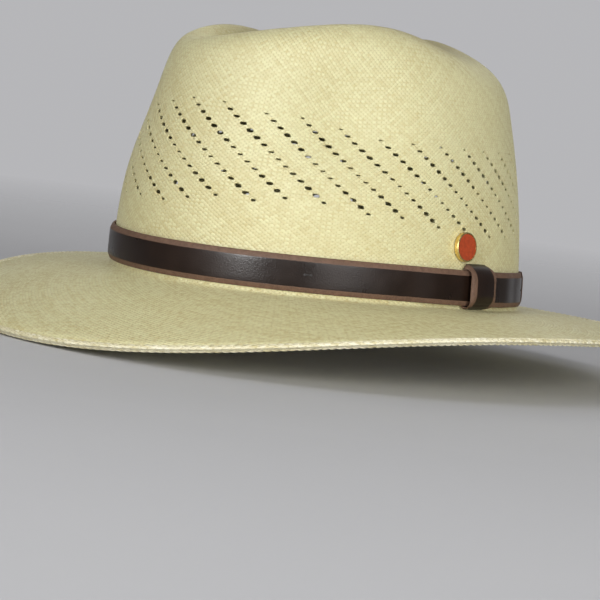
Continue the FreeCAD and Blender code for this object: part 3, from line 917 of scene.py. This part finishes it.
def leather_strap(material):
    """The strap from its rounded tip, round the crown, to the end under the lap."""
    section = np.array(strap_profile())
    stands = section[:, 0] / STRAP_THICKNESS
    heights = section[:, 1]
    turned = np.concatenate([
        STRAP_TIP_ANGLE + TIP_LENGTH * np.linspace(0.0, 1.0, TIP_COLUMNS) ** 2,
        np.linspace(STRAP_TIP_ANGLE + TIP_LENGTH + 0.5, STRAP_END_ANGLE, STRAP_COLUMNS)])
    rounding = TIP_ROUNDING * np.abs(2.0 * heights / STRAP_HEIGHT - 1.0) ** 3
    rows = []
    pairs = []
    for place in turned:
        past_tip = place - STRAP_TIP_ANGLE
        degrees = place + rounding * max(0.0, 1.0 - past_tip / TIP_LENGTH)
        angle = np.radians(degrees)
        pared = 0.5 + 0.5 * smooth(past_tip / 1.3)
        outward = strap_stand(degrees) + stands * pared * strap_thickness(degrees)
        rows.append(wall_point(angle, strap_base(angle) + heights, outward))
        pairs.append(np.stack([np.full(len(heights), past_tip * MILLIMETRES_PER_DEGREE), heights], axis=-1))
    faces = strip_faces(len(turned), len(section))
    uv = corner_uv(np.concatenate(pairs), faces)
    piece = new_mesh("leather_strap", np.concatenate(rows), faces, uv, "leather", 40.0)
    return finish_piece(piece, material, "dark_leather", "hat_band")


def rounded_loop(low, high, back, face, radius, steps):
    """Points round a rounded rectangle, as (stand, height), from its back up and over to its face."""
    corners = [
        (back + radius[0], high - radius[0], 180.0, radius[0]),
        (face - radius[1], high - radius[1], 90.0, radius[1]),
        (face - radius[1], low + radius[1], 0.0, radius[1]),
        (back + radius[0], low + radius[0], -90.0, radius[0]),
    ]
    loop = []
    for stand, height, start, size in corners:
        for step in range(steps + 1):
            turn = math.radians(start - 90.0 * step / steps)
            loop.append((stand + size * math.cos(turn), height + size * math.sin(turn)))
    return np.array(loop)


def keeper_loops():
    """The keeper's outline and its opening, seen along the strap, with as many points each."""
    inner_back = KEEPER_STRAW_GAP + KEEPER_BACK_WALL
    inner_face = inner_back + KEEPER_CLEARANCE + STRAP_THICKNESS + KEEPER_FACE_GAP
    low = -KEEPER_END_GAP
    high = STRAP_HEIGHT + KEEPER_END_GAP
    outer = rounded_loop(
        low - KEEPER_BOTTOM_WALL, high + KEEPER_TOP_WALL, KEEPER_STRAW_GAP, inner_face + KEEPER_FACE_WALL,
        (KEEPER_BACK_CORNER, KEEPER_FACE_CORNER), KEEPER_LOOP_STEPS)
    inner = rounded_loop(
        low, high, inner_back, inner_face + KEEPER_EDGE_THINNING,
        (KEEPER_BACK_CORNER * 0.3, KEEPER_FACE_CORNER * 0.36), KEEPER_LOOP_STEPS)
    sag = np.exp(-((outer[:, 1] - STRAP_HEIGHT * 0.5) / 7.0) ** 2) * (outer[:, 0] > inner_face)
    outwards = (outer[:, 0] - KEEPER_STRAW_GAP) / (inner_face + KEEPER_FACE_WALL - KEEPER_STRAW_GAP)
    outer[:, 0] += 0.5 * sag - 0.4 * outwards
    return outer, inner


def leather_keeper(material):
    """A short strap closed into a loop: its two edges are raw and bevelled outside."""
    outer, inner = keeper_loops()
    half = KEEPER_WIDTH / 2.0
    side = [
        (-half, 0.0), (-half, 0.4), (-half + 0.2, 0.52), (-half + 1.3, 0.78),
        (-half + KEEPER_BEVEL - 0.3, 0.965), (-half + KEEPER_BEVEL + 0.5, 1.0),
    ]
    section = side + [(0.0, 1.03)] + [(-across, depth) for across, depth in reversed(side)] + [(0.0, 0.0)]
    angle = math.radians(KEEPER_ANGLE)
    base = strap_base(angle)
    axis = head_point(angle) - head_normal(angle) * keeper_radius()
    points = []
    pairs = []
    for index in range(len(outer)):
        for across, depth in section:
            stand, height = inner[index] + (outer[index] - inner[index]) * depth
            at_middle = wall_point(angle, base + height, stand) - axis
            turn = across / keeper_radius()
            x = at_middle[0] * math.cos(turn) - at_middle[1] * math.sin(turn)
            y = at_middle[0] * math.sin(turn) + at_middle[1] * math.cos(turn)
            points.append(np.array([x, y, at_middle[2]]) + axis)
            pairs.append((10.0 + index * 1.2, across + half))
    count = len(section)
    faces = []
    for index in range(len(outer)):
        here = index * count
        there = (index + 1) % len(outer) * count
        faces += loop_faces(range(here, here + count), range(there, there + count))
    uv = corner_uv(np.array(pairs), faces)
    piece = new_mesh("leather_keeper", points, faces, uv, "leather", 40.0)
    return finish_piece(piece, material, "dark_leather", "band_keeper", body="keeper")


# ---------------------------------------------------------------- lining and thread

def sweatband_base(angle):
    return break_height(angle) + SWEATBAND_LIFT


def rounded_outline(corners, radius, steps=4):
    """A closed outline of (stand, height) points with every corner rounded off."""
    corners = np.asarray(corners, float)
    outline = []
    for index, here in enumerate(corners):
        before = corners[index - 1] - here
        after = corners[(index + 1) % len(corners)] - here
        first = here + before * min(0.45, radius / np.linalg.norm(before))
        last = here + after * min(0.45, radius / np.linalg.norm(after))
        for step in range(steps + 1):
            t = step / steps
            outline.append((1.0 - t) ** 2 * first + 2.0 * t * (1.0 - t) * here + t * t * last)
    return np.array(outline)


def lining_strip(name, outline_at, start, end, columns):
    """A strip that follows the inside of the hat: outline_at gives its section at an angle in degrees."""
    rows = []
    pairs = []
    for degrees in np.linspace(start, end, columns):
        outline = outline_at(degrees)
        angle = math.radians(degrees)
        rows.append(wall_point(angle, sweatband_base(angle) + outline[:, 1], outline[:, 0]))
        along = np.full(len(outline), degrees * MILLIMETRES_PER_DEGREE)
        pairs.append(np.stack([along, outline[:, 1]], axis=-1))
    faces = strip_faces(columns, len(rows[0]))
    uv = corner_uv(np.concatenate(pairs), faces)
    return new_mesh(name, np.concatenate(rows), faces, uv, "leather", 50.0)


def leather_sweatband(material):
    """A thin leather strip with its lower edge folded up behind it round a reed, and an uneven top."""
    outer = -SWEATBAND_STAND
    inner = outer - SWEATBAND_THICKNESS
    fold_outer = outer - SWEATBAND_FOLD
    fold_inner = fold_outer - SWEATBAND_THICKNESS
    corners = [
        (-HOOK_STAND, HOOK_HEIGHT), (-HOOK_STAND, 0.9), (-HOOK_STAND - 0.5, 0.0), (fold_inner + 0.7, 0.0),
        (fold_inner, 0.9), (fold_inner, 3.5), (inner, SWEATBAND_OPENING_TOP), (inner, 15.0),
        (inner + 0.1, SWEATBAND_HEIGHT - 2.5), (inner + 0.3, SWEATBAND_HEIGHT), (outer, SWEATBAND_HEIGHT),
        (outer, SWEATBAND_OPENING_TOP), (fold_outer, 3.4), (fold_outer, 0.8), (outer, 0.8),
        (outer, HOOK_HEIGHT),
    ]
    outline = rounded_outline(corners, 0.35)
    upper = smooth((outline[:, 1] - SWEATBAND_OPENING_TOP) / (SWEATBAND_HEIGHT - SWEATBAND_OPENING_TOP))

    def outline_at(degrees):
        angle = math.radians(degrees)
        wave = 0.5 + 0.3 * math.sin(7.0 * angle + 1.0) + 0.2 * math.sin(17.0 * angle)
        return outline - upper[:, None] * np.array([0.35 * wave, 0.25 * wave])

    piece = lining_strip(
        "leather_sweatband", outline_at, 180.0 + BUTT_GAP_ANGLE, 540.0 - BUTT_GAP_ANGLE, SWEATBAND_COLUMNS)
    return finish_piece(piece, material, "sweatband_leather", "sweatband")


def lining_patch(name, material, slot, node, middle, half, thickness, top):
    """A thin sheet with soft corners between the sweatband and the straw."""
    far = -SWEATBAND_STAND + PATCH_GAP

    def outline_at(degrees):
        corner = 12.0 * max(0.0, abs(degrees - middle) / half - 0.9)
        low = SWEATBAND_OPENING_TOP + 0.5 + corner
        high = top - corner - 0.15 * math.sin(degrees * 1.7)
        outline = [(far, low), (far + thickness, low), (far + thickness, high), (far, high)]
        return rounded_outline(outline, thickness * 0.4, 3)

    piece = lining_strip(name, outline_at, middle - half, middle + half, PATCH_COLUMNS)
    return finish_piece(piece, material, slot, node)


def lining_reed(material):
    """The thin round reed in the fold: slightly flattened at its knots."""
    angles = equal_arc_angles(REED_COLUMNS, 0.0)
    base = sweatband_base(angles)
    rows = []
    for corner in range(THREAD_CORNERS):
        turn = 2.0 * math.pi * corner / THREAD_CORNERS
        size = REED_RADIUS * (0.94 + 0.05 * np.cos(angles * 13.0) ** 8)
        stand = -REED_CENTRE[0] + size * math.cos(turn)
        rows.append(wall_point(angles, base + REED_CENTRE[1] + size * math.sin(turn), stand))
    faces = []
    for corner in range(THREAD_CORNERS):
        after = (corner + 1) % THREAD_CORNERS
        faces += ring_faces(after * REED_COLUMNS, corner * REED_COLUMNS, REED_COLUMNS)
    piece = new_mesh("lining_reed", np.concatenate(rows), faces)
    return finish_piece(piece, material, "reed", "sweatband_reed")


def tube(path, side, radius, twist=0.9):
    """Two twisted plies along a path that lies in the plane square to side."""
    rise = np.cross(unit(np.gradient(path, axis=0)), side)
    points = []
    for index, place in enumerate(path):
        for corner in range(THREAD_CORNERS):
            turn = 2.0 * math.pi * corner / THREAD_CORNERS
            size = radius * (0.85 + 0.15 * math.cos(2.0 * turn + twist * index))
            points.append(place + side * (size * math.cos(turn)) + rise[index] * (size * math.sin(turn)))
    return points, strip_faces(len(path), THREAD_CORNERS)


def thread_stitch(place, normal, along, length, radius, depth):
    """One stitch that comes up out of a hole, lies on the surface and goes down again."""
    turns = np.linspace(0.0, math.pi, THREAD_POINTS)
    across = -np.sign(np.cos(turns)) * np.abs(np.cos(turns)) ** 0.5 * length / 2.0
    heights = (depth + 0.5 * radius) * np.sin(turns) ** 0.35 - depth
    path = place + np.outer(across, along) + np.outer(heights, normal)
    return tube(path, np.cross(normal, along), radius)


def stitch_hole(place, normal, along, radius):
    """The pressed-in, darkened mouth of a stitch hole: a low dish with a thin rim."""
    side = np.cross(normal, along)
    corners = 12
    points = []
    for size, height in ((1.0, -0.2), (1.0, 0.03), (0.75, 0.07), (0.3, 0.03)):
        for corner in range(corners):
            turn = 2.0 * math.pi * corner / corners
            flat = along * math.cos(turn) + side * math.sin(turn)
            points.append(place + flat * (size * radius) + normal * height)
    return points, strip_faces(4, corners)


def thread_piece(name, stitches, material, node, slot="brown_thread", body="hat"):
    points = []
    faces = []
    for some_points, some_faces in stitches:
        faces += [tuple(corner + len(points) for corner in face) for face in some_faces]
        points += some_points
    return finish_piece(new_mesh(name, points, faces), material, slot, node, body=body)


def wall_direction(angle, height):
    """The outward direction of the lower crown wall, and the level direction along it."""
    rise = wall_point(angle, height + 1.0) - wall_point(angle, height - 1.0)
    along = np.cross(UP, head_normal(angle))
    return unit(np.cross(along, rise)), along


def strap_face(degrees, share):
    """A place on the strap's face, at a share of its height, with the face's directions."""
    angle = math.radians(degrees % 360.0)
    height = strap_base(angle) + STRAP_HEIGHT * share
    normal, along = wall_direction(angle, height)
    return wall_point(angle, height, strap_stand(degrees) + strap_thickness(degrees)), normal, along


def leather_threads(material):
    tacks = []
    for degrees in TACK_ANGLES:
        place, normal, along = strap_face(degrees + 360.0, 0.5)
        tacks.append(thread_stitch(place, normal, along, 2.6, 0.3, 0.8))
        tacks += [stitch_hole(place + along * end, normal, along, 0.55) for end in (-1.35, 1.35)]
    thread_piece("tack_thread", tacks, material, "band_tack_stitches")
    laps = []
    for degrees in LAP_STITCH_ANGLES:
        for share in (0.27, 0.5, 0.73):
            place, normal, _ = strap_face(degrees, share)
            upwards = unit(UP - normal * normal[2])
            laps.append(thread_stitch(place, normal, upwards, 2.2, 0.32, 0.8))
            laps += [stitch_hole(place + upwards * end, normal, upwards, 0.5) for end in (-1.1, 1.1)]
    thread_piece("lap_thread", laps, material, "band_lap_stitches")
    seams = []
    angle = math.radians(KEEPER_ANGLE)
    inwards = -head_normal(angle)
    for share in (0.2, 0.5, 0.8):
        place = wall_point(angle, strap_base(angle) + STRAP_HEIGHT * share, KEEPER_STRAW_GAP + 0.1)
        seams.append(thread_stitch(place, inwards, np.cross(UP, inwards), 3.0, 0.2, 0.3))
    thread_piece("keeper_seam_thread", seams, material, "keeper_seam_stitches", body="keeper")


def sweatband_thread(material):
    stitches = []
    for index in range(SWEATBAND_STITCHES):
        angle = math.radians(180.0 + 360.0 * (index + 0.5) / SWEATBAND_STITCHES)
        inwards = -head_normal(angle)
        stand = -SWEATBAND_STAND - SWEATBAND_FOLD - SWEATBAND_THICKNESS
        place = wall_point(angle, sweatband_base(angle) + 2.9, stand)
        stitches.append(thread_stitch(place, inwards, np.cross(UP, inwards), 3.2, 0.3, 0.8))
    thread_piece("sweatband_thread", stitches, material, "sweatband_stitches", "cream_thread")


def ribbon(path, across, halves, cup=0.12):
    """A thin ribbon along a path: across is its width's direction and halves are its half widths."""
    path = np.asarray(path)
    facing = np.cross(across, unit(np.gradient(path, axis=0)))
    steps = np.linspace(-1.0, 1.0, 7)
    points = []
    for index, place in enumerate(path):
        for layer, order in ((0.5, steps), (-0.5, steps[::-1])):
            for step in order:
                stand = layer * BOW_RIBBON + cup * (1.0 - step * step)
                points.append(place + facing[index] * stand + across[index] * (halves[index] * step))
    return points, strip_faces(len(path), 2 * len(steps))


def sweatband_ribbon_bow(material):
    """A small flat bow: two loops of ribbon, two tails and the turn of ribbon that holds them."""
    near = -SWEATBAND_STAND - SWEATBAND_THICKNESS - 0.35
    parts = []
    steps = np.linspace(0.0, 1.0, LOOP_POINTS)
    for side in (-1.0, 1.0):
        out = np.sin(math.pi * steps) ** 0.8
        angles = np.radians(180.0 + side * BOW_HALF_ANGLE * out)
        stands = near - 0.25 - 0.5 * smooth((steps - 0.35) / 0.3)
        path = wall_point(angles, sweatband_base(angles) + BOW_LEVEL + 0.4 * side * out, stands)
        parts.append(ribbon(path, np.tile(UP, (LOOP_POINTS, 1)), 1.1 + 2.9 * smooth(out * 1.2)))
        down = np.linspace(0.0, 1.0, TAIL_POINTS)
        tail_angles = np.radians(180.0 + side * (0.3 + 3.4 * down))
        heights = sweatband_base(tail_angles) + BOW_LEVEL - 1.0 - 9.5 * down
        tail = wall_point(tail_angles, heights, near - 0.12 - 0.3 * (1.0 - down) - 0.15 * np.sin(7.0 * down))
        width = unit(np.cross(head_normal(tail_angles), unit(np.gradient(tail, axis=0))))
        parts.append(ribbon(tail, width, 1.2 + 0.9 * down))
    turns = np.linspace(-1.25, 1.25, 11)
    knot_points = []
    for turned in turns:
        angle = math.radians(180.0 + turned)
        size = 1.0 - 0.22 * abs(turned / 1.25) ** 3
        outline = rounded_outline(
            [(near - 1.5 * size, -2.0 * size), (near + 0.1, -2.0 * size), (near + 0.1, 2.0 * size),
             (near - 1.5 * size, 2.0 * size)], 0.6)
        outline[:, 0] -= 0.07 * np.cos(outline[:, 1] * 5.0)
        heights = sweatband_base(angle) + BOW_LEVEL + outline[:, 1]
        knot_points += list(wall_point(angle, heights, outline[:, 0]))
    parts.append((knot_points, strip_faces(len(turns), len(knot_points) // len(turns))))
    thread_piece("sweatband_ribbon_bow", parts, material, "sweatband_bow", "satin_ribbon")


# ---------------------------------------------------------------- stage, light and camera

CAMERA_AZIMUTH = 46.0
CAMERA_ELEVATION = 4.66
CAMERA_ROLL = 7.38
CAMERA_DISTANCE = 1.3
CAMERA_LENS = 167.0
CAMERA_AIM = Vector((-0.0014, -0.0082, -0.0072))
LIGHTS_AIM = Vector((0.0, 0.0, 0.04))

# Each key light stands with a light that only shows in the sheen of leather, straw and metal.
LIGHT_PAIR = (
    ("left", 24.0, 1.9, 0.42, 0.22, 0.8, 14.2, 51.0),
    ("right", 76.0, 1.9, 0.46, 0.6, 0.9, 17.4, 21.0),
)


def around(azimuth, distance, height=0.0):
    """A place round the hat, in metres: its azimuth is counted as the hat's own angles are."""
    turned = math.radians(azimuth)
    return Vector((distance * math.sin(turned), -distance * math.cos(turned), height))


def camera():
    elevation = math.radians(CAMERA_ELEVATION)
    roll = math.radians(CAMERA_ROLL)
    back = around(CAMERA_AZIMUTH, math.cos(elevation), math.sin(elevation))
    level = around(CAMERA_AZIMUTH + 90.0, 1.0)
    upright = back.cross(level)
    right = level * math.cos(roll) + upright * math.sin(roll)
    above = upright * math.cos(roll) - level * math.sin(roll)
    data = bpy.data.cameras.new("camera")
    data.lens = CAMERA_LENS
    data.sensor_width = 36.0
    made = bpy.data.objects.new("camera", data)
    place = CAMERA_AIM + back * CAMERA_DISTANCE
    made.matrix_world = Matrix.Translation(place) @ Matrix((right, above, back)).transposed().to_4x4()
    bpy.context.collection.objects.link(made)
    bpy.context.scene.camera = made


def area_light(name, azimuth, distance, height, width, tall, power, gleam_only=False):
    """A soft light that stands round the hat and faces it."""
    data = bpy.data.lights.new(name, "AREA")
    data.shape = "RECTANGLE"
    data.size = width
    data.size_y = tall
    data.energy = power
    made = bpy.data.objects.new(name, data)
    made.visible_diffuse = not gleam_only
    made.location = around(azimuth, distance, height)
    made.rotation_euler = (LIGHTS_AIM - made.location).to_track_quat("-Z", "Y").to_euler()
    bpy.context.collection.objects.link(made)


BACKDROP = (0.47, 0.47, 0.485)
ROOM_SHARE = 0.4
FLOOR_RADIUS = 6.0


def floor_material():
    """Pale floor that fades into the backdrop's colour far away from the hat."""
    m = Material("pale_floor")
    place = m.place()
    tone = m.blend(m.noise(place, 6.0), (0.60, 0.60, 0.61), (0.63, 0.63, 0.64))
    m.finish(Base_Color=tone, Roughness=0.85, Specular_IOR_Level=0.2)
    distance = m.vector_math("LENGTH", place, output="Value")
    floor = Output(m, m.surface.outputs[0])
    clear = m.node("ShaderNodeBsdfTransparent")
    mixed = m.node("ShaderNodeMixShader", m.range(distance, 0.3, 1.3), floor, clear)
    m.put(m.first("OUTPUT_MATERIAL").inputs[0], mixed)
    return m.owner


def stage():
    lowest = CAD_BOX[0].z / METRE - 0.2
    rings = [0.0, 0.15, 0.4, 1.0, 2.5, FLOOR_RADIUS]
    sides = 64
    points = [(0.0, 0.0, lowest)]
    for radius in rings[1:]:
        for side in range(sides):
            turn = 2.0 * math.pi * side / sides
            points.append((radius * math.cos(turn) / METRE, radius * math.sin(turn) / METRE, lowest))
    faces = [(0, 1 + side, 1 + (side + 1) % sides) for side in range(sides)]
    for ring in range(len(rings) - 2):
        faces += ring_faces(1 + ring * sides, 1 + (ring + 1) * sides, sides)
    floor = new_mesh("floor", points, faces)
    floor.data.materials.append(floor_material())

    studio_world()
    bpy.context.scene.view_settings.view_transform = "Standard"
    for side, *place_and_size, power, gleam in LIGHT_PAIR:
        area_light("key_" + side, *place_and_size, power)
        area_light("gleam_" + side, *place_and_size, gleam, True)
    area_light("top", 20.0, 0.9, 1.7, 1.0, 1.0, 6.0)
    area_light("back", 215.0, 1.8, 1.3, 1.4, 1.0, 4.0)


def studio_world():
    """A pale wall behind the hat, and a darker room in front of it."""
    room = Nodes(bpy.data.worlds.new("studio"))
    direction = room.node("ShaderNodeTexCoord", output="Generated")
    away = tuple(around(CAMERA_AZIMUTH + 180.0, 1.0))
    behind = room.vector_math("DOT_PRODUCT", direction, away, output="Value")
    background = room.first("BACKGROUND")
    room.put(background.inputs["Color"], BACKDROP)
    room.put(background.inputs["Strength"], room.range(behind, 0.72, 0.97, ROOM_SHARE, 1.0, "SMOOTHSTEP"))
    bpy.context.scene.world = room.owner


# ---------------------------------------------------------------- build

camera()
stage()
straw_crown(straw_material("straw"))
straw_brim(straw_material("straw_of_brim", mottle=1.0))
# The braid's straw is painted paler than the crown's and the brim's: painted light for the rolled edge, which
# faces the lights.
brim_edge_braid(straw_material("straw_edge", STRAW_EDGE_PAINTED_LIGHT))
leather_strap(leather_material("strap_skin", DARK_LEATHER, RAW_LEATHER, STRAP_HEIGHT, STRAP_BEVEL))
leather_keeper(leather_material("keeper_skin", DARK_LEATHER, RAW_LEATHER, KEEPER_WIDTH, KEEPER_BEVEL))
leather_threads(cloth_material("brown_thread", (0.012, 0.008, 0.006), gloss=0.6))
leather_sweatband(leather_material("sweatband_skin", (0.33, 0.2, 0.11), (0.3, 0.2, 0.12)))
lining_reed(cloth_material("reed", (0.7, 0.64, 0.48)))
sweatband_thread(cloth_material("cream_thread", (0.8, 0.74, 0.58)))
sweatband_ribbon_bow(cloth_material("ribbon", (0.08, 0.05, 0.035), gloss=0.45))
lining_patch(
    "joint_tape", cloth_material("tape", (0.76, 0.73, 0.64)), "cotton_tape", "sweatband_joint_tape", 180.0,
    TAPE_HALF_ANGLE, TAPE_THICKNESS, SWEATBAND_HEIGHT - 1.0)
lining_patch(
    "size_slip", cloth_material("label", (0.86, 0.85, 0.8)), "paper_label", "size_label", LABEL_ANGLE,
    LABEL_HALF_ANGLE, LABEL_THICKNESS, SWEATBAND_HEIGHT + LABEL_ABOVE_SWEATBAND)

CAD_FINISHES = {
    "badge_cup": metal_material("gilt", (0.83, 0.62, 0.24)),
    "badge_enamel": enamel_material("enamel", (0.5, 0.062, 0.008)),
    "badge_post": metal_material("gilt_post", (0.80, 0.60, 0.26)),
    "badge_clutch": metal_material("clutch_brass", (0.78, 0.60, 0.30)),
}
for node_name, finish in CAD_FINISHES.items():
    node = NODES[node_name]
    node.data.materials.clear()
    node.data.materials.append(finish)
